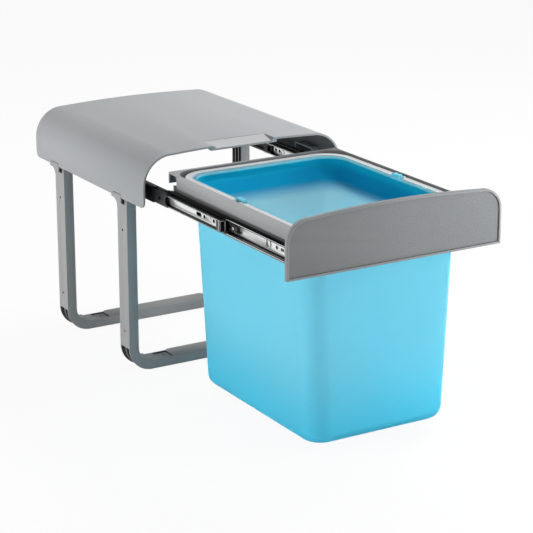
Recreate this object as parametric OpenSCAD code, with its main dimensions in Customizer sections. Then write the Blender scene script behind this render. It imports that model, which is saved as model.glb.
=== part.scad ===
// Pull-out bin frame for a floor cabinet, shown drawn out to the end of its slides.
// +X is to the right, +Y to the back of the cabinet and +Z up.
// The origin lies on the cabinet floor, at the centre of the four floor screws.

/* [Cover] */
// Width over the two side skirts
cover_w = 405; // [385:1:430]
// Depth from front edge to rear edge
cover_d = 447; // [447:1:480]
// Height of the top above the floor
cover_h = 421; // [417:1:440]
// Height of the side skirts, from the top down
skirt_h = 96.5; // [91:0.5:101]
// Wall thickness of the cover
cover_t = 3.5; // [2.5:0.1:4]
// Radius of the two long top corners
cover_r = 55; // [40:1:60]
// Rise of the crowned top over its middle
crown = 4; // [1:0.5:6]
// Width of the lead-in at the middle of the front edge
leadin_w = 110; // [60:1:160]
// Depth of the lead-in
leadin_d = 37; // [20:1:60]
// Drop of the lead-in at the front edge
leadin_drop = 6; // [3:0.5:8]

/* [Legs] */
// Width of a leg, front to back
leg_w = 37; // [34:1:44]
// Depth of a leg's channel section, side to side
leg_t = 18.6; // [16:0.1:22]
// Wall thickness of the legs
leg_wall = 2.6; // [2:0.1:3.2]
// Outer radius of the bend between upright and foot bar
bend_r = 45; // [36:1:60]
// Distance from the cover's front edge to the front leg
front_leg_y = 66; // [40:1:90]
// Distance from the cover's front edge to the rear leg
rear_leg_y = 326; // [290:1:340]
// Distance from the centre line to a floor screw
floor_screw_x = 122; // [100:1:130]
// Diameter of a floor screw hole
floor_hole_d = 5; // [4:0.1:6]
// Diameter of the holes in the legs' outer walls
side_hole_d = 4.4; // [3:0.1:6]

/* [Slides] */
// Length of each rail
rail_l = 440; // [400:1:440]
// Height of the large rails
rail_h = 27; // [27:0.1:32]
// Thickness of the whole slide, side to side
slide_t = 22.5; // [22.5:0.1:24]
// Drop of the slides' centre line below the cover's top
slide_drop = 74; // [71:1:77]
// Full travel of the drawer
travel = 470; // [440:1:480]
// Diameter of the balls
ball_d = 2.6; // [2.4:0.05:2.6]
// Running clearance between a ball and its race
ball_clear = 0.06; // [0.03:0.01:0.1]
// Sheet thickness of the rails
rail_sheet = 1.2; // [1:0.1:1.4]
// Number of balls in each row
ball_count = 8; // [4:1:10]

/* [Drawer] */
// Wall thickness of the carriage frame
frame_t = 3; // [2.5:0.1:3.5]
// Drop of the carriage's rim below the cover's top
rim_drop = 26; // [23:0.5:28]
// Depth of the seat below the rim
seat_depth = 11; // [10:0.5:12]
// Overhang of the rim band beyond the rail wall
band_out = 9.1; // [8:0.1:10]
// Overhang of the front panel past the cover on each side
panel_over = 2; // [0:0.5:12]
// Drop of the front panel's lower edge below the cover's top
panel_drop = 97.7; // [93:0.1:105]
// Height of the front panel at its sides, up to the corner arcs
panel_side_h = 96.4; // [88:0.1:102]
// Rise of the panel's crowned upper edge
panel_crown = 6.7; // [3:0.1:12]
// Radius of the panel's upper corners
panel_r = 38; // [25:1:42]
// Thickness of the panel at its rim
panel_t = 7.4; // [6:0.1:9]

/* [Bin] */
// Height of the bin's bottom above the floor
bin_z = 20; // [20:0.5:40]
// Wall thickness of the bin
bin_t = 2.2; // [1.8:0.1:3]
// Half the narrowing of the bin from rim to bottom, side to side
bin_taper = 14.5; // [8:0.5:20]
// Radius of the bin's corners at the rim
bin_r = 40; // [30:1:44]
// Radius between the bin's walls and bottom
bin_foot_r = 20; // [12:1:24]
// Thickness of a handle hoop
handle_t = 5; // [4:0.1:6]
// Width of a handle hoop
handle_w = 12; // [10:0.5:12.5]
// Diameter of the handle pins
pin_d = 4; // [3.4:0.1:4.4]
// Clearance round a handle pin, on the radius
pin_clear = 0.12; // [0.08:0.01:0.2]

/* [Hidden] */
$fn = 48;
eps = 0.01;

grey = [0.62, 0.64, 0.65];
dark_grey = [0.42, 0.44, 0.45];
pale_grey = [0.80, 0.81, 0.81];
zinc = [0.86, 0.87, 0.88];
black = [0.10, 0.10, 0.11];
blue = [0.40, 0.80, 0.92];

// Cover
half_w = cover_w / 2;
slide_z = cover_h - slide_drop;
skirt_z = cover_h - skirt_h;
shoulder_z = cover_h - crown;
skirt_r = 12;                         // lower corners of the skirts
lead_flare = 9;                       // slope of the lead-in's sides, in x

// Legs
screw_back = 24;                      // floor screw, from the leg's front face
leg_inner = half_w - leg_t;
bar_top = leg_t;
head_d = 60;                          // length of a leg's head inside the cover
head_top = slide_z + 25;
tab_y = 23;                           // hook tab, from the leg's front face
tab_l = 29;
tab_h = 5;
tab_gap = 1.3;
side_hole_zs = [bend_r + 31, skirt_z - 58.5];
pocket_floor = 14;

// Slides: u runs inwards from the back of the outer rail, w up from the centre line
rail_front = 2;                       // rail ends behind the cover's front edge when shut
rail_depth = (slide_t - 0.7) / 2;
race_t = 1.9;
ball_w = rail_h / 2 - race_t - 0.6;
ball_u = 6.2;
race_r = ball_d / 2 + ball_clear;
mid_h = ball_w - 0.7;                 // half height of the middle rail
mid_tip = 2.6;
cage_t = 0.6;
cage_u = 1.6;
cage_h = ball_w + 0.25;
cage_reach = 9.6;
window_h = 8.6;
middle_front = rail_front - travel / 2;
rail_overlap = rail_l - travel / 2;   // length that two neighbouring rails share when drawn out
outer_cage_y = rail_front - 52;
outer_cage_l = rail_overlap + 40;
inner_cage_y = middle_front - 13;
inner_cage_l = rail_overlap + 21;
lever_y = middle_front - 17;          // pivot of the release lever
lever_l = 28;
lever_h = 6.5;
window_l = lever_y + lever_l / 2 - inner_cage_y + travel / 4 + 4;
rail_screw_r = 1.9;
rail_head_r = 3.4;
rail_head_h = 1.9;
rail_screw_l = 11;
rail_screw_back = 49;                 // from a leg's front face to its rail screw

// Drawer
rim_z = cover_h - rim_drop;
rim_h = 19.5;                         // height of the rim band
panel_w = cover_w + 2 * panel_over;
panel_z = cover_h - panel_drop;
drawer_front = -travel - rail_front;
frame_l = rail_l - 2;
frame_rear = drawer_front + frame_l;
wall_x = leg_inner - slide_t;         // outer face of the wall that carries the rail
band_x = wall_x + band_out;
seat_x = wall_x - 7.4;                // half width of the opening for the bin
seat_z = rim_z - seat_depth;
recess_x = band_x - frame_t;
seat_front = drawer_front + 19;
seat_rear = frame_rear - 26;
recess_front = drawer_front + 5;
recess_rear = frame_rear - 7.5;
recess_r = 36;
wall_low = slide_z - rail_h / 2;
end_l = 28;                           // length of the open ends of the rear beam
panel_screw_xs = [for (k = [-2, -1, 1, 2]) k * 0.43 * wall_x];
panel_screw_z = slide_z + 3;

// Bin and handles
bin_x = seat_x - 3;
bin_front = seat_front + 3;
bin_rear = seat_rear - 4;
bin_mid = (recess_front + recess_rear) / 2;
bin_top = seat_z + 7.5;
flange_t = 2.5;
flange_z = seat_z + 0.3;
ring_x = recess_x - 2.5;
ring_front = recess_front + 2.5;
ring_rear = recess_rear - 2.5;
ring_r = bin_r + ring_x - bin_x;
ring_z = flange_z + flange_t + 0.3;
hub_gap = 9;                          // from the hub's middle to each handle pin
pin_z = ring_z + 3.3;
eye_r = 3.3;
hub_x = ring_x - 6.8;
hub_r = 6.6;                          // round lobes of a hub
hub_z = pin_z + 0.6;

// The origin is the centre of the floor screws
origin_y = (front_leg_y + rear_leg_y) / 2 + screw_back;

module placed() { translate([0, -origin_y, 0]) children(); }
module left() { translate([-leg_inner, 0, slide_z]) children(); }
module right() { mirror([1, 0, 0]) left() children(); }

// A flat outline in x and z, drawn out along +Y from y
module along_y(y, l) { translate([0, y + l, 0]) rotate([90, 0, 0]) linear_extrude(l) children(); }
// A flat outline in y and z, drawn out along +X from x
module along_x(x, l) { translate([x, 0, 0]) rotate([90, 0, 90]) linear_extrude(l) children(); }
// A round bar along +X
module bar_x(r, l) { rotate([0, 90, 0]) cylinder(r = r, h = l); }

// Rectangle from low to high with four round corners
module round_rect(x0, y0, x1, y1, r) {
    translate([x0 + r, y0]) square([x1 - x0 - 2 * r, y1 - y0]);
    translate([x0, y0 + r]) square([x1 - x0, y1 - y0 - 2 * r]);
    for (x = [x0 + r, x1 - r], y = [y0 + r, y1 - r]) translate([x, y]) circle(r, $fn = 64);
}

// Cover outline, drawn in by t on every side
module cover_outline(t) {
    r = cover_r - t;
    flat = half_w - cover_r;
    chord = flat - 2;
    crown_r = (chord * chord + crown * crown) / (2 * crown);
    translate([-half_w + t, skirt_z - t]) square([cover_w - 2 * t, shoulder_z - cover_r - skirt_z + t]);
    translate([-flat, skirt_z - t]) square([2 * flat, shoulder_z - skirt_z]);
    for (s = [0, 1]) mirror([s, 0]) translate([-flat, shoulder_z - cover_r]) intersection() {
        circle(r, $fn = 96);
        translate([-r, 0]) square(r);
    }
    intersection() {
        translate([0, cover_h - crown_r]) circle(crown_r - t, $fn = 1440);
        translate([-flat, shoulder_z - 2 * t]) square([2 * flat, crown + 2 * t]);
    }
}

module top_cover() {
    lead_x = leadin_w / 2;
    lip_z = cover_h - leadin_drop;
    lead_z = cover_h - 1;
    block_x = lead_x + lead_flare + cover_t;
    color(grey) difference() {
        union() {
            along_y(0, cover_d) difference() {
                cover_outline(0);
                cover_outline(cover_t);
            }
            // block under the sloping lead-in
            intersection() {
                along_x(-block_x, 2 * block_x) polygon([[0, cover_h],
                    [leadin_d + 1, cover_h], [leadin_d + 1, lead_z - cover_t], [0, lip_z - cover_t]]);
                along_y(-1, cover_d) cover_outline(0.5);
            }
            // stiffening ribs under the top
            for (y = [0.28, 0.5, 0.72] * cover_d) along_y(y, 2.2) intersection() {
                cover_outline(1);
                translate([-half_w, shoulder_z - cover_t - 8]) square([cover_w, 20]);
            }
        }
        // hollow above the lead-in, with sloping sides
        intersection() {
            along_x(-block_x, 2 * block_x) polygon([[-1, lip_z - (lead_z - lip_z) / leadin_d],
                [leadin_d, lead_z], [leadin_d, cover_h + 2], [-1, cover_h + 2]]);
            along_y(-2, leadin_d + 4) polygon([[-lead_x, lip_z - 1], [lead_x, lip_z - 1],
                [lead_x + lead_flare, cover_h + 1], [-lead_x - lead_flare, cover_h + 1]]);
        }
        // round lower corners of the skirts
        for (s = [0, 1]) translate([0, s * cover_d, 0]) mirror([0, s, 0])
            along_x(-half_w - 1, cover_w + 2) difference() {
                translate([-1, skirt_z - 1]) square(skirt_r + 1);
                translate([skirt_r, skirt_z + skirt_r]) circle(skirt_r);
            }
        // notches for the legs' hook tabs
        for (y = [front_leg_y, rear_leg_y]) translate([-half_w - 1, y + tab_y - tab_gap, skirt_z - 1])
            cube([cover_w + 2, tab_l + 2 * tab_gap, tab_h + tab_gap + 1]);
    }
}

// Solid U outline of a leg in x and z, drawn in by t
module leg_outline(t) {
    x = half_w - bend_r;
    translate([-half_w + t, bend_r]) square([cover_w - 2 * t, skirt_z - bend_r + (t > 0 ? 10 : 0)]);
    translate([-x, t]) square([2 * x, skirt_z - t]);
    for (s = [-x, x]) translate([s, bend_r]) circle(bend_r - t, $fn = 96);
}

module leg() {
    rib = 2.2;
    flare_r = 16;
    step = 2.1;
    ramp = 6;
    ramp_x = floor_screw_x - 16;
    difference() {
        union() {
            // front and rear flanges of the U, and one middle rib in bends and bar
            for (y = [0, leg_w - leg_wall]) along_y(y, leg_wall) difference() {
                leg_outline(0);
                leg_outline(leg_t);
            }
            along_y((leg_w - rib) / 2, rib) intersection() {
                difference() {
                    leg_outline(1.5);
                    leg_outline(leg_t);
                }
                translate([-half_w, 0]) square([cover_w, bend_r + 2]);
            }
            // inner skin of bends and bar
            along_y(0, leg_w) intersection() {
                difference() {
                    leg_outline(leg_t - leg_wall);
                    leg_outline(leg_t);
                }
                translate([-half_w, 0]) square([cover_w, bend_r + leg_wall]);
            }
            for (s = [0, 1]) mirror([s, 0, 0]) {
                // outer wall of the upright, with the flare up to the hook tab
                along_x(-half_w, leg_wall) difference() {
                    union() {
                        translate([0, bend_r]) square([leg_w, skirt_z - bend_r]);
                        translate([leg_w - eps, skirt_z - 4.5 - flare_r])
                            square([head_d - leg_w, 4.5 + flare_r]);
                    }
                    translate([leg_w + flare_r, skirt_z - 4.5 - flare_r]) circle(flare_r);
                    translate([leg_w + flare_r, skirt_z - 5 - flare_r]) square([head_d, flare_r + 0.4]);
                }
                // ribs inside the upright, and the plate that closes its foot
                for (k = [1, 2]) translate([-half_w, k * leg_w / 3 - rib / 2, bend_r])
                    cube([leg_t, rib, skirt_z - bend_r]);
                translate([-half_w, 0, bend_r]) cube([leg_t, leg_w, leg_wall]);
                // head inside the cover: a box open towards the rail, with the rail's screw boss
                intersection() {
                    translate([-half_w + cover_t, 0, skirt_z - 3]) difference() {
                        cube([leg_t - cover_t, head_d, head_top - skirt_z + 3]);
                        translate([leg_wall, leg_wall, leg_wall])
                            cube([leg_t, head_d - 2 * leg_wall, head_top - skirt_z + 3 - 2 * leg_wall]);
                    }
                    along_y(-1, head_d + 2) cover_outline(cover_t);
                }
                translate([-half_w + cover_t, rail_screw_back, slide_z]) bar_x(5, leg_t - cover_t);
                translate([-half_w, tab_y, skirt_z - 3]) cube([leg_t, head_d - tab_y, 3]);
                // hook tab that fills the notch of the skirt
                translate([-half_w, tab_y, skirt_z - 1]) cube([cover_t + 1, tab_l, tab_h + 1]);
                // solid end of the bar, round the floor screw and under the ramp
                translate([-half_w + bend_r, leg_wall / 2, 0])
                    cube([half_w - bend_r - ramp_x, leg_w - leg_wall, bar_top]);
            }
        }
        for (s = [0, 1]) mirror([s, 0, 0]) {
            // top of the bar steps down over a ramp, and a pocket sinks round the floor screw
            along_y(-1, leg_w + 2) polygon([[-half_w + bend_r, bar_top - step], [-ramp_x - ramp, bar_top - step],
                [-ramp_x, bar_top], [-ramp_x, bar_top + 5], [-half_w + bend_r, bar_top + 5]]);
            translate([-floor_screw_x - 18, 3, pocket_floor]) cube([28, leg_w - 6, 20]);
            translate([-floor_screw_x, screw_back, -1]) cylinder(d = floor_hole_d, h = 30);
            translate([-floor_screw_x, screw_back, pocket_floor - 2])
                cylinder(r1 = floor_hole_d / 2, r2 = floor_hole_d / 2 + 3, h = 2.4);
            // small holes in the outer wall
            for (z = side_hole_zs) translate([-half_w - 1, leg_w / 2, z]) bar_x(side_hole_d / 2, leg_wall + 2);
            // scoop that clears the skirt's edge in front of the tab
            along_x(-half_w - 1, leg_wall + 1 + eps) intersection() {
                translate([leg_wall, skirt_z - 10]) square([tab_y - leg_wall - 1, 10 + eps]);
                translate([tab_y + 4, skirt_z + 3]) circle(24);
            }
            // pilot bore for the rail screw
            translate([-half_w + cover_t + leg_wall, rail_screw_back, slide_z])
                bar_x(rail_screw_r + 0.05, leg_t);
            translate([-leg_inner + rail_sheet, rail_screw_back, slide_z]) mirror([1, 0, 0])
                sunk_head(0, 0.05);
        }
    }
}

module front_leg() { color(grey) translate([0, front_leg_y, 0]) leg(); }
module rear_leg() { color(grey) translate([0, rear_leg_y, 0]) leg(); }

// Section of a large rail in u and w: web at the back, two races open towards +u
module rail_section() {
    h = rail_h / 2;
    lip = 1;
    difference() {
        round_rect(0, -h, 2 * rail_depth, h, 2.2);
        translate([rail_sheet, -h + race_t]) square([rail_depth - rail_sheet - lip, rail_h - 2 * race_t]);
        // mouth between the two lips that keep the balls in
        translate([rail_depth - lip - eps, -ball_w + 0.3]) square([lip + 2 * eps, 2 * ball_w - 0.6]);
        translate([rail_depth, -h - 1]) square([rail_depth + 1, rail_h + 2]);
        for (s = [-1, 1]) translate([ball_u, s * ball_w]) circle(race_r, $fn = 32);
    }
}

// Section of the middle rail: two channels back to back
module middle_section() {
    m = slide_t / 2;
    depth = m - rail_sheet - mid_tip;
    difference() {
        translate([mid_tip, -mid_h]) square([slide_t - 2 * mid_tip, 2 * mid_h]);
        for (u = [mid_tip - eps, m + rail_sheet]) translate([u, -mid_h + 2])
            square([depth + eps, 2 * mid_h - 4]);
        for (s = [-1, 1], u = [ball_u, slide_t - ball_u])
            translate([u, s * ball_w]) circle(race_r, $fn = 32);
        // seam between the two channels
        for (w = [-mid_h - 1, mid_h - 1]) translate([m - 0.35, w]) square([0.7, 2]);
    }
}

// Section of a ball cage
module cage_section() {
    difference() {
        translate([cage_u, -cage_h]) square([cage_reach - cage_u, 2 * cage_h]);
        translate([cage_u + cage_t, -cage_h + cage_t]) square([cage_reach, 2 * cage_h - 2 * cage_t]);
    }
}

// Countersunk hole or screw head, opening towards -u at u
module sunk_head(u, grow) {
    translate([u, 0, 0]) rotate([0, 90, 0])
        cylinder(r1 = rail_head_r + grow, r2 = rail_screw_r + grow, h = rail_head_h);
}

// Round-ended slot through a web, long axis along Y
module slot(u, y, l, d) {
    translate([u, 0, 0]) for (s = [-1, 1]) translate([0, y + s * (l - d) / 2, 0]) bar_x(d / 2, 4);
    translate([u, y - (l - d) / 2, -d / 2]) cube([4, l - d, d]);
}

rail_screw_ys = [front_leg_y + rail_screw_back, rear_leg_y + rail_screw_back];
outer_slot_ys = [for (share = [0.135, 0.29, 0.6, 0.75])
    rail_screw_ys[0] + share * (rail_screw_ys[1] - rail_screw_ys[0])];

module outer_rail() {
    color(zinc) difference() {
        along_y(rail_front, rail_l) rail_section();
        for (y = rail_screw_ys) translate([rail_sheet + eps, y, 0]) mirror([1, 0, 0])
            sunk_head(0, 0.05);
        for (y = outer_slot_ys) slot(-1, y, 10, 5);
    }
}

// Screws through the outer rail's web into the legs' bosses
module rail_screws() {
    color(dark_grey) for (y = rail_screw_ys) translate([rail_sheet, y, 0]) mirror([1, 0, 0]) {
        sunk_head(0, 0);
        translate([rail_head_h - eps, 0, 0]) bar_x(rail_screw_r, rail_screw_l);
    }
}

// Ball cage: the front end has a round notch or an open window, and holes hold the balls
function ball_ys(y, l) = [for (i = [0 : ball_count - 1]) y + l * i / (ball_count - 1)];

module ball_row(ys, r) {
    for (y = ys, s = [-1, 1]) translate([ball_u, y, s * ball_w]) {
        if (r > 0) cylinder(r = r, h = 3, center = true);
        else sphere(d = ball_d);
    }
}

outer_ball_ys = ball_ys(rail_front + 7, outer_cage_y + outer_cage_l - rail_front - 13);
inner_ball_ys = ball_ys(inner_cage_y + 20, inner_cage_l - 40);

module outer_cage() {
    color(black) difference() {
        along_y(outer_cage_y, outer_cage_l) cage_section();
        translate([0, outer_cage_y, 0]) bar_x(8, 5);
        translate([0, outer_cage_y + 29, 0]) bar_x(3.3, 5);
        slot(0, outer_cage_y + 120, 130, 12);
        ball_row(outer_ball_ys, ball_d / 2 + 0.2);
    }
}

module outer_balls() { color(zinc) ball_row(outer_ball_ys, 0); }

module inner_cage() {
    color(black) translate([slide_t, 0, 0]) mirror([1, 0, 0]) difference() {
        along_y(inner_cage_y, inner_cage_l) cage_section();
        // open window that lets the release lever pass
        translate([0, inner_cage_y - 1, -window_h]) cube([5, window_l + 1, 2 * window_h]);
        ball_row(inner_ball_ys, ball_d / 2 + 0.2);
    }
}

module inner_balls() {
    color(zinc) translate([slide_t, 0, 0]) mirror([1, 0, 0]) ball_row(inner_ball_ys, 0);
}

module middle_rail() {
    y0 = middle_front;
    web = slide_t / 2 - 2;
    color(zinc) difference() {
        along_y(y0, rail_l) middle_section();
        slot(web, y0 + 87, 17, 6.5);
        for (y = [68, 36, rail_l - 33, rail_l - 46]) translate([web, y0 + y, 0]) bar_x(3.25, 4);
        slot(web, y0 + 22, 9, 6);
        // access hole for the outer rail's screw
        translate([web, y0 + 0.516 * rail_l, 0]) bar_x(4.5, 4);
    }
    // rivets that join the two channels
    color(zinc) for (y = [49, rail_l - 59]) translate([slide_t / 2 - rail_sheet - 0.8, y0 + y, 0])
        bar_x(4.7, 2 * rail_sheet + 1.6);
}

// Front bracket and rear bumper of the middle rail
module middle_stops() {
    y0 = middle_front;
    color(zinc) difference() {
        translate([mid_tip + 0.4, y0, -mid_h + 2]) cube([slide_t / 2 - rail_sheet - mid_tip - 0.4, 16, 2 * mid_h - 4]);
        for (y = [3.4, 9.4]) translate([mid_tip, y0 + y, -mid_h + 4]) cube([3.4, 2, 2 * mid_h - 8]);
    }
    color(black) translate([slide_t / 2 + rail_sheet, y0 + rail_l - 24, -mid_h + 2])
        difference() {
            cube([7, 24, 2 * mid_h - 4]);
            translate([3, -1, 3]) cube([5, 12, 2 * mid_h - 10]);
        }
}

drawer_screw_ys = [drawer_front + 42, frame_rear - 26];

module drawer_rail() {
    back = slide_t - rail_sheet;
    y0 = drawer_front;
    color(zinc) {
        difference() {
            translate([slide_t, 0, 0]) mirror([1, 0, 0]) along_y(y0, rail_l) rail_section();
            for (y = drawer_screw_ys) translate([0, y, 0]) sunk_head(back - eps, 0.05);
            translate([back - 1, drawer_front + 92, 0]) bar_x(3.3, 4);
            slot(back - 1, drawer_front + 75, 10, 5);
            for (share = [0.68, 0.77]) slot(back - 1, drawer_front + share * rail_l, 12, 5);
            translate([back - eps, drawer_front + 117, 0]) bar_x(4.6, 0.7);
        }
        // raised round
        translate([0, drawer_front + 117, 0]) difference() {
            translate([back - 1.2, 0, 0]) bar_x(7.6, 1.2 + eps);
            translate([back - 2, 0, 0]) bar_x(6, 2 + 2 * eps);
        }
        // rivet of the release lever
        translate([back - 4.6, lever_y, 0]) bar_x(1.5, 4.6 + eps);
        translate([back - 5.4, lever_y, 0]) bar_x(2.6, 0.8 + eps);
    }
}

// Screws through the drawer rail's web into the carriage wall
module drawer_screws() {
    color(dark_grey) for (y = drawer_screw_ys) translate([slide_t - rail_sheet, y, 0]) {
        sunk_head(0, 0);
        translate([rail_head_h - eps, 0, 0]) bar_x(rail_screw_r, rail_sheet + frame_t - rail_head_h - 0.2);
    }
}

// Lever that frees the drawer rail when its front lug is pressed
module release_lever() {
    back = slide_t - rail_sheet;
    color(black) difference() {
        union() {
            translate([back - 4.4, lever_y - 14, -lever_h]) cube([4, lever_l, 2 * lever_h]);
            translate([back - 6.2, lever_y - 14, -lever_h + 1]) cube([3, 9, 2 * lever_h - 2]);
            translate([back - 4.4, lever_y - 19, -5.5]) cube([3, 6, 3]);
        }
        translate([back - 8, lever_y, 0]) bar_x(1.5 + pin_clear, 9);
        translate([back - 8, lever_y, 0]) bar_x(2.9, 3.5);
        translate([back - 5, lever_y + 6, -1.5]) cube([6, 9, 3]);
    }
}

// Rail-side section of the carriage, with x outwards from the centre plane
module carriage_section() {
    translate([wall_x, rim_z - rim_h]) intersection() {
        difference() {
            circle(band_out, $fn = 64);
            circle(band_out - frame_t, $fn = 64);
        }
        translate([-1, -band_out]) square([band_out + 1, band_out]);
    }
    translate([wall_x - frame_t, wall_low - 2.5])
        square([frame_t, rim_z - rim_h - band_out + frame_t - wall_low + 2.5]);
    translate([wall_x - frame_t, wall_low - 2.5]) square([frame_t + band_out + 0.4, 2.5]);
}

module carriage_frame() {
    low = rim_z - rim_h;
    color(grey) difference() {
        union() {
            // rim with its sunk seat, hollow below
            difference() {
                translate([-band_x, drawer_front, low]) cube([2 * band_x, frame_l, rim_h]);
                translate([0, 0, seat_z]) linear_extrude(rim_z)
                    round_rect(-recess_x, recess_front, recess_x, recess_rear, recess_r);
                difference() {
                    translate([-band_x + frame_t, drawer_front + frame_t, low - 1])
                        cube([2 * (band_x - frame_t), frame_l - 2 * frame_t, seat_z - frame_t - low + 1]);
                    translate([0, 0, low - 2]) linear_extrude(rim_h)
                        round_rect(-seat_x - 2.5, seat_front - 2.5, seat_x + 2.5, seat_rear + 2.5,
                            bin_r + seat_x - bin_x + 2.5);
                }
            }
            // walls that carry the rails
            for (s = [0, 1]) mirror([s, 0, 0]) along_y(drawer_front, frame_l) carriage_section();
            // front wall behind the panel
            translate([-wall_x, drawer_front, wall_low - 2.5]) cube([2 * wall_x, frame_t, rim_z - wall_low]);
        }
        // opening that the bin hangs in
        translate([0, 0, low - 3]) linear_extrude(rim_h + 6)
            round_rect(-seat_x, seat_front, seat_x, seat_rear, bin_r + seat_x - bin_x);
        // open ends of the rear beam, outside the rail walls and round the corners of the seat
        for (s = [0, 1]) mirror([s, 0, 0]) {
            translate([wall_x, frame_rear - end_l, low - band_out - 1]) cube([band_x, end_l + 1, band_out + 1]);
            difference() {
                translate([wall_x, frame_rear - end_l, low - 1])
                    cube([band_x, end_l - frame_t, rim_h - frame_t + 1]);
                translate([recess_x - recess_r, recess_rear - recess_r, low - 2])
                    cylinder(r = recess_r + frame_t, h = rim_h, $fn = 96);
            }
        }
        // screw holes
        for (x = panel_screw_xs) translate([x, drawer_front - 1, panel_screw_z]) rotate([-90, 0, 0])
            cylinder(r = 2.1, h = frame_t + 2);
        for (y = drawer_screw_ys, s = [0, 1]) mirror([s, 0, 0]) left() translate([0, y, 0]) {
            sunk_head(slide_t - rail_sheet, 0.05);
            translate([slide_t - rail_sheet, 0, 0]) bar_x(rail_screw_r + 0.05, 8);
        }
    }
}

// Panel outline in x and z, drawn in by t
module panel_outline(t) {
    x = panel_w / 2;
    flat = x - panel_r;
    chord = flat - 2;
    side_z = panel_z + panel_side_h;
    crown_r = (chord * chord + panel_crown * panel_crown) / (2 * panel_crown);
    translate([-x + t, panel_z + t]) square([panel_w - 2 * t, panel_side_h - panel_r - t]);
    translate([-flat, panel_z + t]) square([2 * flat, panel_side_h - 2 * t]);
    for (s = [-flat, flat]) translate([s, side_z - panel_r]) circle(panel_r - t, $fn = 96);
    intersection() {
        translate([0, side_z + panel_crown - crown_r]) circle(crown_r - t, $fn = 1440);
        translate([-flat, side_z - 2 * t - 1]) square([2 * flat, panel_crown + 2 * t + 1]);
    }
}

module front_panel() {
    color(dark_grey) difference() {
        along_y(drawer_front - panel_t, panel_t) panel_outline(0);
        along_y(drawer_front - panel_t - 1, 3) panel_outline(4);
        for (x = panel_screw_xs) translate([x, drawer_front + 1, panel_screw_z]) rotate([90, 0, 0])
            cylinder(r = 2.05, h = 5);
    }
}

module panel_screws() {
    color(dark_grey) for (x = panel_screw_xs) translate([x, drawer_front + frame_t, panel_screw_z])
        rotate([90, 0, 0]) {
            cylinder(r = 2, h = frame_t + 3.5);
            translate([0, 0, -2.4]) cylinder(r = 4, h = 2.4);
        }
}

// Tapered body of the bin, drawn in by t; one skin over a round foot and the rim
module bin_body(t) {
    x = bin_x - t;
    foot_x = bin_x - bin_taper;
    foot_front = bin_front + 2;
    foot_rear = bin_rear - bin_taper + 2;
    r = bin_foot_r;
    hull() {
        translate([0, 0, bin_top - (t > 0 ? 0 : 1)]) linear_extrude(t > 0 ? 2 : 1)
            round_rect(-x, bin_front + t, x, bin_rear - t, bin_r - t);
        for (sx = [-1, 1], y = [foot_front + bin_r, foot_rear - bin_r])
            translate([sx * (foot_x - bin_r), y, bin_z + r]) rotate_extrude($fn = 48)
                translate([bin_r - r, 0]) intersection() {
                    circle(r - t, $fn = 32);
                    translate([0, -r]) square([r, r]);
                }
    }
}

module bin() {
    color(blue) difference() {
        union() {
            difference() {
                union() {
                    bin_body(0);
                    // flange that hangs in the seat
                    translate([0, 0, flange_z]) linear_extrude(flange_t)
                        round_rect(-ring_x + 1, ring_front + 1, ring_x - 1, ring_rear - 1, ring_r - 1);
                }
                bin_body(bin_t);
            }
            // hubs that carry the handle pins
            for (s = [0, 1]) mirror([s, 0, 0]) {
                along_x(bin_x - bin_t + 0.4, hub_x - bin_x + bin_t - 0.4) {
                    for (y = [-1, 1]) translate([bin_mid + y * (hub_r - 0.5), hub_z]) circle(hub_r);
                    translate([bin_mid - 2 * hub_r + 1, flange_z]) square([4 * hub_r - 2, hub_z - flange_z]);
                }
                for (y = [-hub_gap, hub_gap]) translate([hub_x - 1, bin_mid + y, pin_z])
                    bar_x(pin_d / 2, ring_x - hub_x);
            }
        }
    }
}

// Half of the ring of the two handles: k = 1 is the rear hoop, k = -1 the front one
module handle(k) {
    start = hub_gap + 7.5;
    pin_y = bin_mid + k * hub_gap;
    color(pale_grey) difference() {
        union() {
            translate([0, 0, ring_z]) linear_extrude(handle_t) intersection() {
                difference() {
                    round_rect(-ring_x, ring_front, ring_x, ring_rear, ring_r);
                    round_rect(-ring_x + handle_w, ring_front + handle_w, ring_x - handle_w,
                        ring_rear - handle_w, ring_r - handle_w);
                }
                translate([-ring_x, k > 0 ? bin_mid + start : ring_front])
                    square([2 * ring_x, k > 0 ? ring_rear - bin_mid - start : bin_mid - start - ring_front]);
            }
            for (s = [0, 1]) mirror([s, 0, 0]) {
                translate([ring_x - 6.4, min(pin_y, pin_y + k * 9), ring_z]) cube([5.6, 9, handle_t]);
                translate([ring_x - 6.4, pin_y, pin_z]) bar_x(eye_r, 5.6);
            }
        }
        for (s = [0, 1]) mirror([s, 0, 0]) translate([ring_x - 8, pin_y, pin_z])
            bar_x(pin_d / 2 + pin_clear, 10);
    }
}

module front_handle() { handle(-1); }
module rear_handle() { handle(1); }

placed() top_cover();
placed() front_leg();
placed() rear_leg();
placed() left() outer_rail();  // left_outer_rail
placed() right() outer_rail();  // right_outer_rail
placed() left() rail_screws();  // left_rail_screws
placed() right() rail_screws();  // right_rail_screws
placed() left() outer_cage();  // left_outer_cage
placed() right() outer_cage();  // right_outer_cage
placed() left() outer_balls();  // left_outer_balls
placed() right() outer_balls();  // right_outer_balls
placed() left() middle_rail();  // left_middle_rail
placed() right() middle_rail();  // right_middle_rail
placed() left() middle_stops();  // left_middle_stops
placed() right() middle_stops();  // right_middle_stops
placed() left() inner_cage();  // left_inner_cage
placed() right() inner_cage();  // right_inner_cage
placed() left() inner_balls();  // left_inner_balls
placed() right() inner_balls();  // right_inner_balls
placed() left() drawer_rail();  // left_drawer_rail
placed() right() drawer_rail();  // right_drawer_rail
placed() left() drawer_screws();  // left_drawer_screws
placed() right() drawer_screws();  // right_drawer_screws
placed() left() release_lever();  // left_release_lever
placed() right() release_lever();  // right_release_lever
placed() carriage_frame();
placed() front_panel();
placed() panel_screws();
placed() bin();
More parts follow.
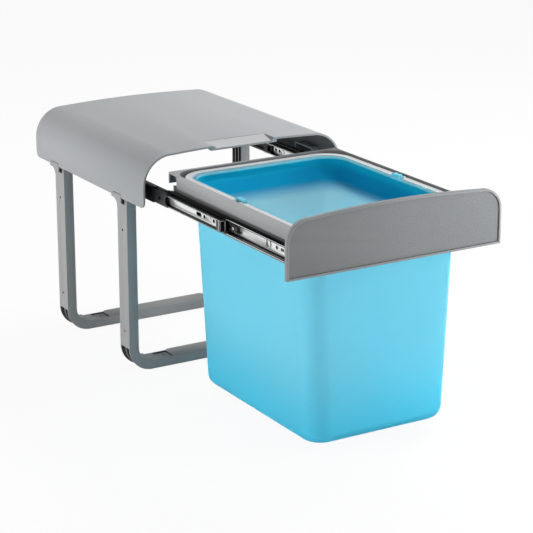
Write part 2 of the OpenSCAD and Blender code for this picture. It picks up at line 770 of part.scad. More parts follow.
placed() front_handle();
placed() rear_handle();
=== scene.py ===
import math

import bmesh
import bpy
import numpy as np
from mathutils import Matrix, Vector


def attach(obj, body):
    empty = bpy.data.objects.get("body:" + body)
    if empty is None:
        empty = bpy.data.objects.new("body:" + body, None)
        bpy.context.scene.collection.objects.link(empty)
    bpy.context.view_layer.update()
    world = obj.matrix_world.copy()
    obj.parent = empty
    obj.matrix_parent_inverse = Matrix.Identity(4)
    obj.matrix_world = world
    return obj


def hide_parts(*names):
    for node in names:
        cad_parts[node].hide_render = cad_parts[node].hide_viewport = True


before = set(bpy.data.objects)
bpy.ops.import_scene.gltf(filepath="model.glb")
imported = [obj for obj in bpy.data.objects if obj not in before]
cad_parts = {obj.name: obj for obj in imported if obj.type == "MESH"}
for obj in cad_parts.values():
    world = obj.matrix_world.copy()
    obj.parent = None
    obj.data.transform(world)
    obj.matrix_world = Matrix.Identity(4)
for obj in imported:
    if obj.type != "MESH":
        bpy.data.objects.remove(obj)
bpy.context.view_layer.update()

# Camera: a long lens in front of the frame's left side, a little above the rim of the bin,
# so that the cover, the left slide and the front panel are all seen at once.
turn, rise = math.radians(-30.94), math.radians(17.29)
camera_place = Vector((-1.6573, -3.0618, 1.2120))
focal_pixels, image_pixels, sensor_width = 1903.4, 533, 36.0
back = Vector((math.sin(turn) * math.cos(rise), -math.cos(turn) * math.cos(rise), math.sin(rise)))
right = (-back).cross(Vector((0, 0, 1))).normalized()
up = right.cross(-back)
camera_data = bpy.data.cameras.new("camera")
camera_data.sensor_width = sensor_width
camera_data.lens = focal_pixels / image_pixels * sensor_width
camera = bpy.data.objects.new("camera", camera_data)
bpy.context.scene.collection.objects.link(camera)
camera.matrix_world = Matrix((
    (right.x, up.x, back.x, camera_place.x),
    (right.y, up.y, back.y, camera_place.y),
    (right.z, up.z, back.z, camera_place.z),
    (0, 0, 0, 1),
))
bpy.context.scene.camera = camera

# Studio: a white sweep under the frame, one broad soft lamp at its left and one high over its
# right, and two small fills, at the front and over the mouth of the bin. The sweep is white to the
# camera, and to gloss and see-through plastic, and the broad lamps leave no image in gloss.
bpy.context.scene.view_settings.view_transform = "Standard"
dim_strength, sweep_glow, floor_size, floor_gap = 0.26, 0.93, 12, 0.0005


def seen_rays(nodes, links):
    """1 for the rays that show the white sweep: straight from the camera, mirrored or let
    through, but not those that a matt surface has scattered on the way."""
    rays = nodes.new("ShaderNodeLightPath")
    total = rays.outputs["Is Camera Ray"]
    for kind in ("Is Glossy Ray", "Is Transmission Ray"):
        most = nodes.new("ShaderNodeMath")
        most.operation = "MAXIMUM"
        links.new(total, most.inputs[0])
        links.new(rays.outputs[kind], most.inputs[1])
        total = most.outputs[0]
    direct = nodes.new("ShaderNodeMath")
    direct.operation = "LESS_THAN"
    direct.inputs[1].default_value = 0.5
    links.new(rays.outputs["Diffuse Depth"], direct.inputs[0])
    both = nodes.new("ShaderNodeMath")
    both.operation = "MULTIPLY"
    links.new(total, both.inputs[0])
    links.new(direct.outputs[0], both.inputs[1])
    return both.outputs[0]


world = bpy.data.worlds.new("studio")
bpy.context.scene.world = world
world.use_nodes = True
nodes, links = world.node_tree.nodes, world.node_tree.links
nodes.clear()
dim = nodes.new("ShaderNodeBackground")
dim.inputs["Color"].default_value = (0.98, 0.99, 1.0, 1)
dim.inputs["Strength"].default_value = dim_strength
white = nodes.new("ShaderNodeBackground")
white.inputs["Strength"].default_value = 1.0
choose = nodes.new("ShaderNodeMixShader")
links.new(seen_rays(nodes, links), choose.inputs[0])
links.new(dim.outputs[0], choose.inputs[1])
links.new(white.outputs[0], choose.inputs[2])
out = nodes.new("ShaderNodeOutputWorld")
links.new(choose.outputs[0], out.inputs[0])

bpy.ops.mesh.primitive_plane_add(size=floor_size, location=(0, 0, -floor_gap))
floor = bpy.context.object
floor.name = "studio_floor"
floor_finish = bpy.data.materials.new("studio_white")
floor_finish.use_nodes = True
nodes, links = floor_finish.node_tree.nodes, floor_finish.node_tree.links
nodes.clear()
share = nodes.new("ShaderNodeMath")
share.operation = "MULTIPLY"
share.inputs[1].default_value = sweep_glow
links.new(seen_rays(nodes, links), share.inputs[0])
matt = nodes.new("ShaderNodeBsdfDiffuse")
matt.inputs["Color"].default_value = (0.86, 0.87, 0.88, 1)
glow = nodes.new("ShaderNodeEmission")
glow.inputs["Strength"].default_value = 1.0
choose = nodes.new("ShaderNodeMixShader")
links.new(share.outputs[0], choose.inputs[0])
links.new(matt.outputs[0], choose.inputs[1])
links.new(glow.outputs[0], choose.inputs[2])
out = nodes.new("ShaderNodeOutputMaterial")
links.new(choose.outputs[0], out.inputs[0])
floor.data.materials.append(floor_finish)


def lamp(name, place, aim, size, power, mirrored=True):
    """A square soft box of that size in metres at place, turned to face aim. Gloss shows its
    image if it is mirrored."""
    data = bpy.data.lights.new(name, "AREA")
    data.shape = "SQUARE"
    data.size = size
    data.energy = power
    box = bpy.data.objects.new(name, data)
    bpy.context.scene.collection.objects.link(box)
    box.visible_camera = False
    box.visible_glossy = mirrored
    box.location = place
    box.rotation_euler = (Vector(aim) - Vector(place)).to_track_quat("-Z", "Y").to_euler()


lamp("left_soft_box", (-2.4, 0.3, 0.5), (0, -0.1, 0.25), 1.0, 33, mirrored=False)
lamp("top_soft_box", (1.8, 0.2, 2.2), (0.05, -0.1, 0.3), 1.1, 60, mirrored=False)
lamp("front_fill", (0.66, -1.18, 0.42), (0.1, -0.7, 0.28), 0.4, 4.5)
lamp("mouth_fill", (-0.25, -1.1, 1.5), (0.05, -0.35, 0.35), 0.4, 2.4, mirrored=False)

# Top cover: a moulded shell of grey plastic with a crowned top, a lead-in at its front edge and
# notches in its skirts for the legs. The mould leaves a fine even grain and slightly broken edges.


def softened(node, name, width, segments=2):
    """The frame's own solid as a welded copy: flat faces are joined, and edges that turn by more
    than 28 degrees are rounded by width, as the mould or the press leaves them."""
    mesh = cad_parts[node].data.copy()
    mesh.materials.clear()
    mesh.name = name
    work = bmesh.new()
    work.from_mesh(mesh)
    bmesh.ops.remove_doubles(work, verts=work.verts, dist=2e-6)
    bmesh.ops.dissolve_limit(work, angle_limit=math.radians(0.4), verts=work.verts,
                             edges=work.edges)
    for face in work.faces:
        face.smooth = True
    work.to_mesh(mesh)
    work.free()
    piece = bpy.data.objects.new(name, mesh)
    bpy.context.scene.collection.objects.link(piece)
    edge = piece.modifiers.new("broken_edges", "BEVEL")
    edge.width = width
    edge.segments = segments
    edge.limit_method = "ANGLE"
    edge.angle_limit = math.radians(28)
    edge.use_clamp_overlap = True
    edge.harden_normals = True
    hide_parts(node)
    return piece


def moulded_plastic(name, colour, rough, grain=0.00008, grain_scale=2600.0, mottle=0.03,
                    cloud_scale=14.0, shade=None):
    """Moulded plastic: an even colour with a faint slow mottle, a fine pebbled grain as bump, and
    a roughness that varies a little over the surface. A shade (axis, low, high, share) is painted
    shade: it darkens the colour evenly along an axis, from none at low to that share of it at
    high."""
    finish = bpy.data.materials.new(name)
    finish.use_nodes = True
    nodes, links = finish.node_tree.nodes, finish.node_tree.links
    shader = nodes["Principled BSDF"]
    place = nodes.new("ShaderNodeTexCoord").outputs["Object"]
    slow = nodes.new("ShaderNodeTexNoise")
    slow.inputs["Scale"].default_value = cloud_scale
    slow.inputs["Detail"].default_value = 3.0
    links.new(place, slow.inputs["Vector"])
    ramp = nodes.new("ShaderNodeMix")
    ramp.data_type = "RGBA"
    ramp.inputs["A"].default_value = tuple(c * (1 - mottle) for c in colour) + (1,)
    ramp.inputs["B"].default_value = tuple(min(1, c * (1 + mottle)) for c in colour) + (1,)
    links.new(slow.outputs["Fac"], ramp.inputs["Factor"])
    links.new(ramp.outputs["Result"], shader.inputs["Base Color"])
    # painted shade along one axis, where the light falls off
    if shade:
        axis, low, high, share = shade
        parts = nodes.new("ShaderNodeSeparateXYZ")
        links.new(place, parts.inputs[0])
        along = nodes.new("ShaderNodeMapRange")
        along.inputs["From Min"].default_value = low
        along.inputs["From Max"].default_value = high
        links.new(parts.outputs[axis], along.inputs["Value"])
        shaded = nodes.new("ShaderNodeMix")
        shaded.data_type = "RGBA"
        shaded.inputs["B"].default_value = tuple(c * share for c in colour) + (1,)
        links.new(along.outputs["Result"], shaded.inputs["Factor"])
        links.new(ramp.outputs["Result"], shaded.inputs["A"])
        links.new(shaded.outputs["Result"], shader.inputs["Base Color"])
    fine = nodes.new("ShaderNodeTexNoise")
    fine.inputs["Scale"].default_value = grain_scale
    fine.inputs["Detail"].default_value = 2.0
    links.new(place, fine.inputs["Vector"])
    rougher = nodes.new("ShaderNodeMapRange")
    rougher.inputs["To Min"].default_value = rough - 0.05
    rougher.inputs["To Max"].default_value = rough + 0.05
    links.new(fine.outputs["Fac"], rougher.inputs["Value"])
    links.new(rougher.outputs["Result"], shader.inputs["Roughness"])
    bump = nodes.new("ShaderNodeBump")
    bump.inputs["Strength"].default_value = 0.5
    bump.inputs["Distance"].default_value = grain
    links.new(fine.outputs["Fac"], bump.inputs["Height"])
    links.new(bump.outputs["Normal"], shader.inputs["Normal"])
    return finish


def dress(piece, finish, body=None):
    """Gives a piece its finish. A piece made here is also attached to its body; one of the frame's
    own nodes is given no body."""
    piece.data.materials.clear()
    piece.data.materials.append(finish)
    if body:
        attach(piece, body)
    return piece


def faces_of(piece):
    """The centres and the normals of a piece's faces, one row for each face."""
    count = len(piece.data.polygons)
    centre, normal = np.empty(count * 3), np.empty(count * 3)
    piece.data.polygons.foreach_get("center", centre)
    piece.data.polygons.foreach_get("normal", normal)
    return centre.reshape(-1, 3), normal.reshape(-1, 3)


def repaint(piece, finish, chosen):
    """Gives the chosen faces of a dressed piece a finish of their own."""
    index = np.empty(len(piece.data.polygons), dtype=np.int32)
    piece.data.polygons.foreach_get("material_index", index)
    index[chosen] = len(piece.data.materials)
    piece.data.materials.append(finish)
    piece.data.polygons.foreach_set("material_index", index)


# painted shade: the cover's grey darkens towards its left side, where less light falls
cover_grey = moulded_plastic("cover_grey", (0.420, 0.434, 0.445), 0.46,
                             shade=("X", 0.12, -0.17, 0.84))
# painted light: the sloping lip of the lead-in is painted lighter, as it catches more light
cover_lip_painted_light = moulded_plastic("cover_lip_painted_light", (0.49, 0.50, 0.51), 0.42)
# painted shade: the cover's inner faces and the side of the lead-in are painted dark, where shade
# falls
cover_painted_shade = moulded_plastic("cover_painted_shade", (0.16, 0.165, 0.17), 0.55)
cover = dress(softened("top_cover", "cover_shell", 0.0006), cover_grey,
              "cabinet_frame")
lip_rear, lip_half, lip_low, cover_middle = -0.180, 0.075, 0.40, 0.33
centre, normal = faces_of(cover)
lead_in = (centre[:, 1] < lip_rear) & (abs(centre[:, 0]) < lip_half) & (centre[:, 2] > lip_low)
# painted light on the sloping lip of the lead-in
repaint(cover, cover_lip_painted_light, lead_in & (normal[:, 2] > 0.8) & (normal[:, 1] < -0.05))
# painted shade on the side of the lead-in and on the cover's inner faces
repaint(cover, cover_painted_shade, lead_in & (normal[:, 2] > 0.02) & (normal[:, 0] < -0.3))
outward = centre[:, 0] * normal[:, 0] + (centre[:, 2] - cover_middle) * normal[:, 2]
repaint(cover, cover_painted_shade, outward < -0.001)

# Legs: two U-shaped mouldings of ribbed channel in the same grey plastic. Each hooks into the
# cover's skirts and carries the outer rails; the foot bar is screwed to the cabinet floor.
leg_grey = moulded_plastic("leg_grey", (0.335, 0.338, 0.340), 0.50)
# painted shade: near black for the legs' bend pockets, holes, sunk pocket walls and channel slots
leg_painted_shade = moulded_plastic("leg_painted_shade", (0.045, 0.046, 0.047), 0.60)
bend_x, bend_z, rib_reach, leg_depth, margin = 0.1575, 0.045, 0.0425, 0.037, 0.001
side_hole_z, side_hole_step, side_hole_radius = 0.171, 0.095, 0.0024
screw_x, screw_back, screw_reach, pocket_half = 0.122, 0.024, 0.006, 0.0185
pocket_low, pocket_high = 0.0142, 0.0186
channel_mouth, channel_floor, channel_low, channel_high = 0.1845, 0.2002, 0.048, 0.318
for node, front in (("front_leg", -0.154), ("rear_leg", 0.106)):
    leg = dress(softened(node, node + "_moulding", 0.0004), leg_grey,
                "cabinet_frame")
    centre, normal = faces_of(leg)
    x, y, z = abs(centre[:, 0]), centre[:, 1] - front, centre[:, 2]
    out_normal = normal[:, 0] * np.sign(centre[:, 0])
    between = (y > margin) & (y < leg_depth - margin)
    out_x, out_z = x - bend_x, z - bend_z
    pocket = (out_x > 0) & (out_z < 0.0005) & (np.hypot(out_x, out_z) < rib_reach) & between
    pocket &= out_x * out_normal + out_z * normal[:, 2] > -0.001
    side_hole = np.hypot(y - leg_depth / 2, abs(z - side_hole_z) - side_hole_step)
    side_hole = side_hole < side_hole_radius
    floor_hole = np.hypot(x - screw_x, y - screw_back) < screw_reach
    floor_hole &= abs(normal[:, 2]) < 0.5
    sunk_wall = (z > pocket_low) & (z < pocket_high) & (abs(normal[:, 2]) < 0.3) & between
    sunk_wall &= abs(x - screw_x) < pocket_half
    channel = (x > channel_mouth) & (x < channel_floor) & (z > channel_low) & (z < channel_high)
    channel &= (y > 2 * margin) & (y < leg_depth - 2 * margin)
    channel &= (abs(normal[:, 1]) > 0.7) | (out_normal < -0.7)
    # painted shade in the pockets, holes, sunk walls and channels, where shade falls
    repaint(leg, leg_painted_shade, pocket | side_hole | floor_hole | sunk_wall | channel)

# Slides: rails rolled from steel strip and bright zinc plated, with ball races along their edges,
# black plastic ball cages, steel balls, and a black lever that frees the drawer rail.


def zinc_plate(name, colour, rough, streak=0.5, lines=None, metal=1.0, shadow_past=None):
    """Bright zinc on rolled strip: metal with faint streaks along the rail and a cloudy sheen.
    Lines (axis, middle, distances) turn it black and back again in turn, at those distances from
    the middle. Past the depth given last, where another rail lies over it, it is painted black
    all over as painted shade."""
    finish = bpy.data.materials.new(name)
    finish.use_nodes = True
    nodes, links = finish.node_tree.nodes, finish.node_tree.links
    shader = nodes["Principled BSDF"]
    shader.inputs["Metallic"].default_value = metal
    place = nodes.new("ShaderNodeTexCoord").outputs["Object"]
    stretch = nodes.new("ShaderNodeMapping")
    stretch.inputs["Scale"].default_value = (900, 12, 900)
    links.new(place, stretch.inputs["Vector"])
    streaks = nodes.new("ShaderNodeTexNoise")
    streaks.inputs["Scale"].default_value = 1.0
    streaks.inputs["Detail"].default_value = 4.0
    links.new(stretch.outputs["Vector"], streaks.inputs["Vector"])
    tint = nodes.new("ShaderNodeMix")
    tint.data_type = "RGBA"
    tint.inputs["A"].default_value = tuple(c * 0.88 for c in colour) + (1,)
    tint.inputs["B"].default_value = colour + (1,)
    links.new(streaks.outputs["Fac"], tint.inputs["Factor"])
    links.new(tint.outputs["Result"], shader.inputs["Base Color"])
    if lines:
        axis, middle, turns = lines
        parts = nodes.new("ShaderNodeSeparateXYZ")
        links.new(place, parts.inputs[0])
        above = nodes.new("ShaderNodeMath")
        above.operation = "SUBTRACT"
        above.inputs[1].default_value = middle
        links.new(parts.outputs[axis], above.inputs[0])
        away = nodes.new("ShaderNodeMath")
        away.operation = "ABSOLUTE"
        links.new(above.outputs[0], away.inputs[0])
        share = nodes.new("ShaderNodeMapRange")
        share.inputs["From Max"].default_value = rail_half
        links.new(away.outputs[0], share.inputs["Value"])
        bands = nodes.new("ShaderNodeValToRGB")
        bands.color_ramp.interpolation = "CONSTANT"
        bands.color_ramp.elements[0].color = (0, 0, 0, 1)
        bands.color_ramp.elements[1].position = turns[0] / rail_half
        for place_out in turns[1:]:
            bands.color_ramp.elements.new(place_out / rail_half)
        for k, stop in enumerate(bands.color_ramp.elements):
            stop.color = (k % 2,) * 3 + (1,)
        links.new(share.outputs["Result"], bands.inputs["Fac"])
        black = bands.outputs["Color"]
        # painted shade past a depth along the rail, where another rail lies over it
        if shadow_past:
            past = nodes.new("ShaderNodeMath")
            past.operation = "GREATER_THAN"
            past.inputs[1].default_value = shadow_past
            links.new(parts.outputs["Y"], past.inputs[0])
            either = nodes.new("ShaderNodeMath")
            either.operation = "MAXIMUM"
            links.new(past.outputs[0], either.inputs[0])
            links.new(black, either.inputs[1])
            black = either.outputs[0]
        black_lines = nodes.new("ShaderNodeMix")
        black_lines.data_type = "RGBA"
        black_lines.inputs["B"].default_value = (0.012, 0.012, 0.013, 1)
        links.new(black, black_lines.inputs["Factor"])
        links.new(tint.outputs["Result"], black_lines.inputs["A"])
        links.new(black_lines.outputs["Result"], shader.inputs["Base Color"])
    sheen = nodes.new("ShaderNodeMapRange")
    sheen.inputs["To Min"].default_value = rough - 0.06
    sheen.inputs["To Max"].default_value = rough + 0.10
    links.new(streaks.outputs["Fac"], sheen.inputs["Value"])
    links.new(sheen.outputs["Result"], shader.inputs["Roughness"])
    bump = nodes.new("ShaderNodeBump")
    bump.inputs["Strength"].default_value = streak
    bump.inputs["Distance"].default_value = 0.00001
    links.new(streaks.outputs["Fac"], bump.inputs["Height"])
    links.new(bump.outputs["Normal"], shader.inputs["Normal"])
    return finish


slide_height, rail_half, web_half, end_margin = 0.347, 0.0135, 0.0078, 0.0005
middle_front, bracket_middle = -0.455, -0.4456
# painted shade and dark reflections: black bands along the rolled races of each rail
painted_race_lines = ("Z", slide_height, (web_half, 0.0090, 0.0096, 0.0120, 0.0129))
rail_zinc = zinc_plate("rail_zinc", (0.97, 0.975, 0.98), 0.28, lines=painted_race_lines, metal=0.8)
# painted shade: the drawer rail is black past the front of the middle rail, which lies over it
drawer_zinc = zinc_plate("drawer_zinc", (0.97, 0.975, 0.98), 0.28, lines=painted_race_lines, metal=0.8,
                         shadow_past=middle_front)
stop_steel = zinc_plate("stop_steel", (0.80, 0.81, 0.82), 0.35,
                        lines=("Y", bracket_middle, (0.0007, 0.0042, 0.0050)), metal=0.8)
# painted shade: near black for the walls of the punched holes, where shade falls
hole_painted_shade = zinc_plate("hole_painted_shade", (0.015, 0.015, 0.016), 0.45)
black_rail = zinc_plate("black_rail", (0.06, 0.06, 0.065), 0.30)
ball_steel = zinc_plate("ball_steel", (0.75, 0.76, 0.77), 0.12, 0.0)
screw_zinc = zinc_plate("screw_zinc", (0.55, 0.56, 0.57), 0.34)
cage_black = moulded_plastic("cage_black", (0.012, 0.012, 0.013), 0.42, mottle=0.1)
for side in ("left", "right"):
    for node, body, finish in (("outer_rail", "cabinet_frame", black_rail),
                               ("middle_rail", side + "_middle", rail_zinc),
                               ("drawer_rail", "carriage", drawer_zinc)):
        rail = dress(softened(f"{side}_{node}", f"{side}_{node}_strip", 0.00025), finish,
                     body)
        centre, normal = faces_of(rail)
        y = centre[:, 1]
        inner = (y > y.min() + end_margin) & (y < y.max() - end_margin)
        inner &= abs(centre[:, 2] - slide_height) < web_half
        # painted shade on the walls of the rails' holes
        repaint(rail, hole_painted_shade, inner & (abs(normal[:, 0]) < 0.5))
    for node, finish in (("outer_cage", cage_black), ("inner_cage", cage_black),
                         ("release_lever", cage_black), ("middle_stops", stop_steel)):
        dress(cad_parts[f"{side}_{node}"], finish)
    for node in ("outer_balls", "inner_balls"):
        dress(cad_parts[f"{side}_{node}"], ball_steel)
    for node in ("rail_screws", "drawer_screws"):
        dress(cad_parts[f"{side}_{node}"], screw_zinc)

# Carriage frame: one grey moulding with a sunk seat for the rim of the bin and a wall down each
# side for the drawer rail.
rim_height, seat_height, carriage_middle, rail_wall_x = 0.395, 0.384, -0.474, 0.1620
# painted shade: the carriage's grey darkens down its side band towards the rounding under it
carriage_grey = moulded_plastic("carriage_grey", (0.385, 0.395, 0.40), 0.42,
                                shade=("Z", rim_height, 0.368, 0.70))
# painted shade: the top of the rim darkens towards the right, where less light falls
rim_painted_shade = moulded_plastic("rim_painted_shade", (0.36, 0.37, 0.375), 0.42,
                               shade=("X", -0.12, 0.16, 0.30))
# painted shade: dark grey for the sunk seat's floor and inner walls, where shade falls
seat_painted_shade = moulded_plastic("seat_painted_shade", (0.155, 0.16, 0.163), 0.50)
# painted shade: darker still for the undersides and the walls beside the drawer rails
carriage_painted_shade = moulded_plastic("carriage_painted_shade", (0.10, 0.103, 0.106), 0.50)
carriage = dress(softened("carriage_frame", "carriage_moulding", 0.0005), carriage_grey,
                 "carriage")
centre, normal = faces_of(carriage)
# painted shade on the top of the rim
repaint(carriage, rim_painted_shade, (normal[:, 2] > 0.9) & (centre[:, 2] > rim_height - 0.001))
inward = centre[:, 0] * normal[:, 0] + (centre[:, 1] - carriage_middle) * normal[:, 1] < -0.01
seat = inward & (centre[:, 2] < rim_height)
seat |= (normal[:, 2] > 0.9) & (centre[:, 2] < seat_height + 0.001)
rail_wall = (abs(normal[:, 0]) > 0.9) & (abs(centre[:, 0]) < rail_wall_x)
# painted shade in the sunk seat
repaint(carriage, seat_painted_shade, seat)
# painted shade on the walls beside the rails and on the undersides
repaint(carriage, carriage_painted_shade, rail_wall | (normal[:, 2] < -0.9))

# Front panel: a grey moulding with a crowned upper edge, a raised rim and a coarse-grained field,
# fixed to the carriage by four screws from behind.
# painted shade: the panel's field darkens towards its left end, where less light falls
panel_grey = moulded_plastic("panel_grey", (0.212, 0.222, 0.228), 0.44, grain=0.0006,
                             grain_scale=900.0, mottle=0.30, cloud_scale=420.0,
                             shade=("X", 0.02, -0.18, 0.82))
# painted light: the raised rim and the rest of the moulding are painted lighter than the field
panel_rim_painted_light = moulded_plastic("panel_rim_painted_light", (0.27, 0.28, 0.285), 0.40)
# painted shade: near black for the inner walls of the raised rim, where shade falls
panel_groove_painted_shade = moulded_plastic("panel_groove_painted_shade", (0.05, 0.052, 0.054), 0.50)
panel = dress(softened("front_panel", "front_panel_moulding", 0.0005), panel_rim_painted_light,
              "carriage")
panel_field, panel_middle = -0.6974, 0.372
centre, normal = faces_of(panel)
facing = normal[:, 1] < -0.9
repaint(panel, panel_grey, facing & (centre[:, 1] > panel_field - 0.0003))
inward = centre[:, 0] * normal[:, 0] + (centre[:, 2] - panel_middle) * normal[:, 2] < 0
# painted shade on the inner walls of the raised rim
repaint(panel, panel_groove_painted_shade, ~facing & inward & (centre[:, 1] < panel_field))
dress(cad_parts["panel_screws"], screw_zinc)

# Bin: moulded in translucent blue plastic with a rounded foot, hanging by a flange in the
# carriage's seat. A low upstand inside the handle ring makes its mouth, and two hubs on the
# flange carry the pins of the handles.
bin_low, bin_high, flange_low, flange_high = 0.020, 0.3915, 0.3843, 0.3868
wall, foot_round, corner = 0.0022, 0.020, 0.040
foot_size = (0.1365, -0.668, -0.2965)
mouth_size = (0.151, -0.670, -0.284)
flange_size = (0.164, -0.6835, -0.2650)
flange_corner = 0.053


def rounded_outline(half, front, rear, radius, arc=18, side=10):
    """Points of a rectangle with round corners, once round: each corner is a quarter circle of
    arc steps, and each straight side runs from one arc's end to the next one's start."""
    quarter = np.linspace(0, np.pi / 2, arc)
    corners = ((half - radius, rear - radius, 0), (-half + radius, rear - radius, 1),
               (-half + radius, front + radius, 2), (half - radius, front + radius, 3))
    arcs = [np.stack([x + radius * np.cos(quarter + k * np.pi / 2),
                      y + radius * np.sin(quarter + k * np.pi / 2)], 1) for x, y, k in corners]
    runs = []
    for k in range(4):
        share = np.linspace(0, 1, side)[1:-1, None]
        runs += [arcs[k], arcs[k][-1] * (1 - share) + arcs[(k + 1) % 4][0] * share]
    return np.concatenate(runs)


def bin_rows():
    """The bin's skin as rows from the middle of its foot, out and up the outside, round the flange
    and the mouth, and down the inside: each row is a rounded outline at one height."""
    middle = np.array([0.0, (foot_size[1] + foot_size[2]) / 2])

    def wall_size(z):
        share = np.clip((z - bin_low - foot_round) / (bin_high - bin_low - foot_round), 0, 1)
        return [a * (1 - share) + b * share for a, b in zip(foot_size, mouth_size)]

    def row(size, inset, radius, z):
        outline = rounded_outline(size[0] - inset, size[1] + inset, size[2] - inset,
                                  radius - inset)
        return np.column_stack([outline, np.full(len(outline), z)])

    def foot(inset, z):
        rows = []
        bend = foot_round - inset
        for turn in np.linspace(0, np.pi / 2, 14):
            drawn = inset + bend * (1 - np.sin(turn))
            rows.append(row(foot_size, drawn, corner, z + bend * (1 - np.cos(turn))))
        rim = rows[0][:, :2]
        plate = [np.column_stack([middle + (rim - middle) * k, np.full(len(rim), z)])
                 for k in (0.0, 0.25, 0.55, 0.85)]
        return plate + rows

    outside = foot(0, bin_low)
    for z in np.linspace(bin_low + foot_round, flange_low, 22)[1:]:
        outside.append(row(wall_size(z), 0, corner, z))
    edge = (flange_high - flange_low) / 2
    outside.append(row(flange_size, edge, flange_corner, flange_low))
    for turn in np.linspace(-60, 60, 5):
        outside.append(row(flange_size, edge * (1 - math.cos(math.radians(turn))), flange_corner,
                           flange_low + edge * (1 + math.sin(math.radians(turn)))))
    outside.append(row(flange_size, edge, flange_corner, flange_high))
    outside.append(row(wall_size(flange_high), -0.0012, corner, flange_high))
    outside.append(row(wall_size(flange_high), 0, corner, flange_high + 0.001))
    for turn in np.linspace(0, np.pi, 9):
        outside.append(row(wall_size(bin_high), wall / 2 * (1 - np.cos(turn)), corner,
                           bin_high - wall / 2 + wall / 2 * np.sin(turn)))
    for z in np.linspace(bin_high - wall, bin_low + foot_round, 24)[1:]:
        outside.append(row(wall_size(z), wall, corner, z))
    return outside + foot(wall, bin_low + wall)[::-1][1:]


def skin(name, rows):
    """A closed skin of quads between rows that run once round. An end row that has shrunk to a
    point is welded."""
    grid = np.stack(rows)
    count, around = grid.shape[:2]
    index = np.arange(count * around).reshape(count, around)
    a, b = index[:-1], index[1:]
    quads = np.stack([a, np.roll(a, -1, 1), np.roll(b, -1, 1), b], -1).reshape(-1, 4)
    mesh = bpy.data.meshes.new(name)
    mesh.from_pydata(grid.reshape(-1, 3).tolist(), [], quads.tolist())
    work = bmesh.new()
    work.from_mesh(mesh)
    bmesh.ops.remove_doubles(work, verts=work.verts, dist=1e-6)
    bmesh.ops.recalc_face_normals(work, faces=work.faces)
    for face in work.faces:
        face.smooth = True
    work.to_mesh(mesh)
    work.free()
    piece = bpy.data.objects.new(name, mesh)
    bpy.context.scene.collection.objects.link(piece)
    return piece


def frosted_plastic(name, pale, deep, clear, rough, turns):
    """Translucent plastic: lets the share clear through, with slow clouds from pale to deep that
    run up the walls as the melt flowed, and a fine frost that scatters what passes. Each turn
    (low, high, colour) takes the walls over to its colour between two heights: painted shade
    where the carriage stops the light, painted light where the upstand and the lip of the mouth
    let more of it through, or a deeper blue towards the foot."""
    finish = bpy.data.materials.new(name)
    finish.use_nodes = True
    nodes, links = finish.node_tree.nodes, finish.node_tree.links
    shader = nodes["Principled BSDF"]
    shader.inputs["IOR"].default_value = 1.22
    shader.inputs["Transmission Weight"].default_value = clear
    place = nodes.new("ShaderNodeTexCoord").outputs["Object"]
    flow = nodes.new("ShaderNodeMapping")
    flow.inputs["Scale"].default_value = (9, 9, 2.5)
    links.new(place, flow.inputs["Vector"])
    clouds = nodes.new("ShaderNodeTexNoise")
    clouds.inputs["Detail"].default_value = 3.0
    clouds.inputs["Scale"].default_value = 1.0
    links.new(flow.outputs["Vector"], clouds.inputs["Vector"])
    tint = nodes.new("ShaderNodeMix")
    tint.data_type = "RGBA"
    tint.inputs["A"].default_value = deep + (1,)
    tint.inputs["B"].default_value = pale + (1,)
    links.new(clouds.outputs["Fac"], tint.inputs["Factor"])
    height = nodes.new("ShaderNodeSeparateXYZ")
    links.new(place, height.inputs[0])
    colour = tint.outputs["Result"]
    for low, high, taken in turns:
        fade = nodes.new("ShaderNodeMapRange")
        fade.interpolation_type = "SMOOTHSTEP"
        fade.inputs["From Min"].default_value = low
        fade.inputs["From Max"].default_value = high
        links.new(height.outputs["Z"], fade.inputs["Value"])
        turned = nodes.new("ShaderNodeMix")
        turned.data_type = "RGBA"
        turned.inputs["B"].default_value = taken + (1,)
        links.new(fade.outputs["Result"], turned.inputs["Factor"])
        links.new(colour, turned.inputs["A"])
        colour = turned.outputs["Result"]
    links.new(colour, shader.inputs["Base Color"])
    frost = nodes.new("ShaderNodeTexNoise")
    frost.inputs["Scale"].default_value = 1800.0
    links.new(place, frost.inputs["Vector"])
    haze = nodes.new("ShaderNodeMapRange")
    haze.inputs["To Min"].default_value = rough - 0.05
    haze.inputs["To Max"].default_value = rough + 0.05
    links.new(frost.outputs["Fac"], haze.inputs["Value"])
    links.new(haze.outputs["Result"], shader.inputs["Roughness"])
    bump = nodes.new("ShaderNodeBump")
    bump.inputs["Strength"].default_value = 0.3
    bump.inputs["Distance"].default_value = 0.00003
    links.new(frost.outputs["Fac"], bump.inputs["Height"])
    links.new(bump.outputs["Normal"], shader.inputs["Normal"])
    return finish


# the outside turns a deeper blue towards the foot
bin_blue = frosted_plastic("bin_blue", (0.33, 0.81, 0.93), (0.25, 0.77, 0.92), 0.70, 0.90,
                           ((0.17, 0.005, (0.13, 0.75, 0.94)),))
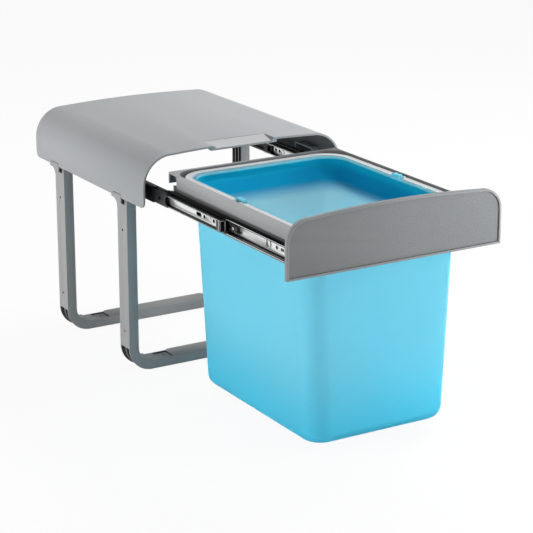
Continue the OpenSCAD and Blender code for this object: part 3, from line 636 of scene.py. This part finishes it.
# painted light and shade: the inside is painted pale low down as painted light, deep blue as
# painted shade where the carriage stops the light, and lighter up the upstand and at the lip as
# painted light
bin_inside_painted = frosted_plastic("bin_blue_inside_painted", (0.80, 0.96, 1.0), (0.72, 0.93, 1.0), 0.50, 0.95,
                             ((0.322, 0.352, (0.001, 0.39, 0.71)),
                              (0.368, 0.386, (0.004, 0.62, 0.90)),
                              (0.387, 0.389, (0.40, 0.92, 1.0))))
hub_blue = frosted_plastic("hub_blue", (0.28, 0.84, 1.0), (0.20, 0.78, 0.98), 0.15, 0.14, ())
bin_skin = skin("bin_skin", bin_rows())
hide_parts("bin")
dress(bin_skin, bin_blue, "bin")
centre, normal = faces_of(bin_skin)
middle = np.array([0.0, (foot_size[1] + foot_size[2]) / 2, 0.0])
inward = ((centre - middle) * normal)[:, :2].sum(1) < -0.001
foot_inside = (normal[:, 2] > 0.5) & (centre[:, 2] < 0.1)
# painted light and shade on the inner faces of the bin
repaint(bin_skin, bin_inside_painted, inward | foot_inside)

hub_middle, hub_height, lobe, lobe_step = -0.47425, 0.3910, 0.0066, 0.0061
pin_height, pin_step, pin_radius = 0.3904, 0.009, 0.002
hub_inner, hub_outer, pin_inner, pin_outer = 0.1495, 0.1582, 0.1572, 0.1648


def hub_outline():
    """Points in y and z round a hub: two lobes of one radius side by side on a straight foot."""
    dip = math.degrees(math.asin(lobe_step / lobe))
    arcs = [(lobe_step, np.radians(np.linspace(0, 90 + dip, 16))),
            (-lobe_step, np.radians(np.linspace(90 - dip, 180, 16)))]
    lobes = [np.stack([shift + lobe * np.cos(turn), hub_height + lobe * np.sin(turn)], 1)
             for shift, turn in arcs]
    foot = flange_high - 0.001
    ends = np.array([[-lobe_step - lobe, foot], [lobe_step + lobe, foot]])
    outline = np.concatenate(lobes + [ends])
    outline[:, 0] += hub_middle
    return outline


def prism(name, outline, low, high):
    """A closed solid with that outline in y and z, drawn along x from low to high, its edges
    rounded by 0.9 mm."""
    count = len(outline)
    ends = [np.column_stack([np.full(count, x), outline]) for x in (low, high)]
    sides = [(k, (k + 1) % count, count + (k + 1) % count, count + k) for k in range(count)]
    mesh = bpy.data.meshes.new(name)
    mesh.from_pydata(np.concatenate(ends).tolist(), [],
                     sides + [tuple(range(count)), tuple(range(2 * count - 1, count - 1, -1))])
    work = bmesh.new()
    work.from_mesh(mesh)
    bmesh.ops.recalc_face_normals(work, faces=work.faces)
    for face in work.faces:
        face.smooth = True
    work.to_mesh(mesh)
    work.free()
    piece = bpy.data.objects.new(name, mesh)
    bpy.context.scene.collection.objects.link(piece)
    edge = piece.modifiers.new("round_edges", "BEVEL")
    edge.width = 0.0009
    edge.segments = 3
    edge.limit_method = "ANGLE"
    edge.angle_limit = math.radians(35)
    edge.harden_normals = True
    return piece


circle = np.linspace(0, 2 * np.pi, 33)[:-1]
for side, way in (("left", -1), ("right", 1)):
    hub = prism(side + "_hub", hub_outline(), *sorted((way * hub_inner, way * hub_outer)))
    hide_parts("bin")
    dress(hub, hub_blue, "bin")
    for end, step in (("front", -pin_step), ("rear", pin_step)):
        ring = np.stack([hub_middle + step + pin_radius * np.cos(circle),
                         pin_height + pin_radius * np.sin(circle)], 1)
        pin = prism(f"{side}_{end}_pin", ring, *sorted((way * pin_inner, way * pin_outer)))
        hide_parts("bin")
        dress(pin, hub_blue, "bin")

# Handles: two hoops of smooth pale grey plastic that lie flat as a ring on the bin's flange and
# fold up on the hub pins.
handle_grey = moulded_plastic("handle_grey", (0.70, 0.715, 0.72), 0.28)
for node in ("front_handle", "rear_handle"):
    dress(softened(node, node + "_hoop", 0.0012, 3), handle_grey, node)
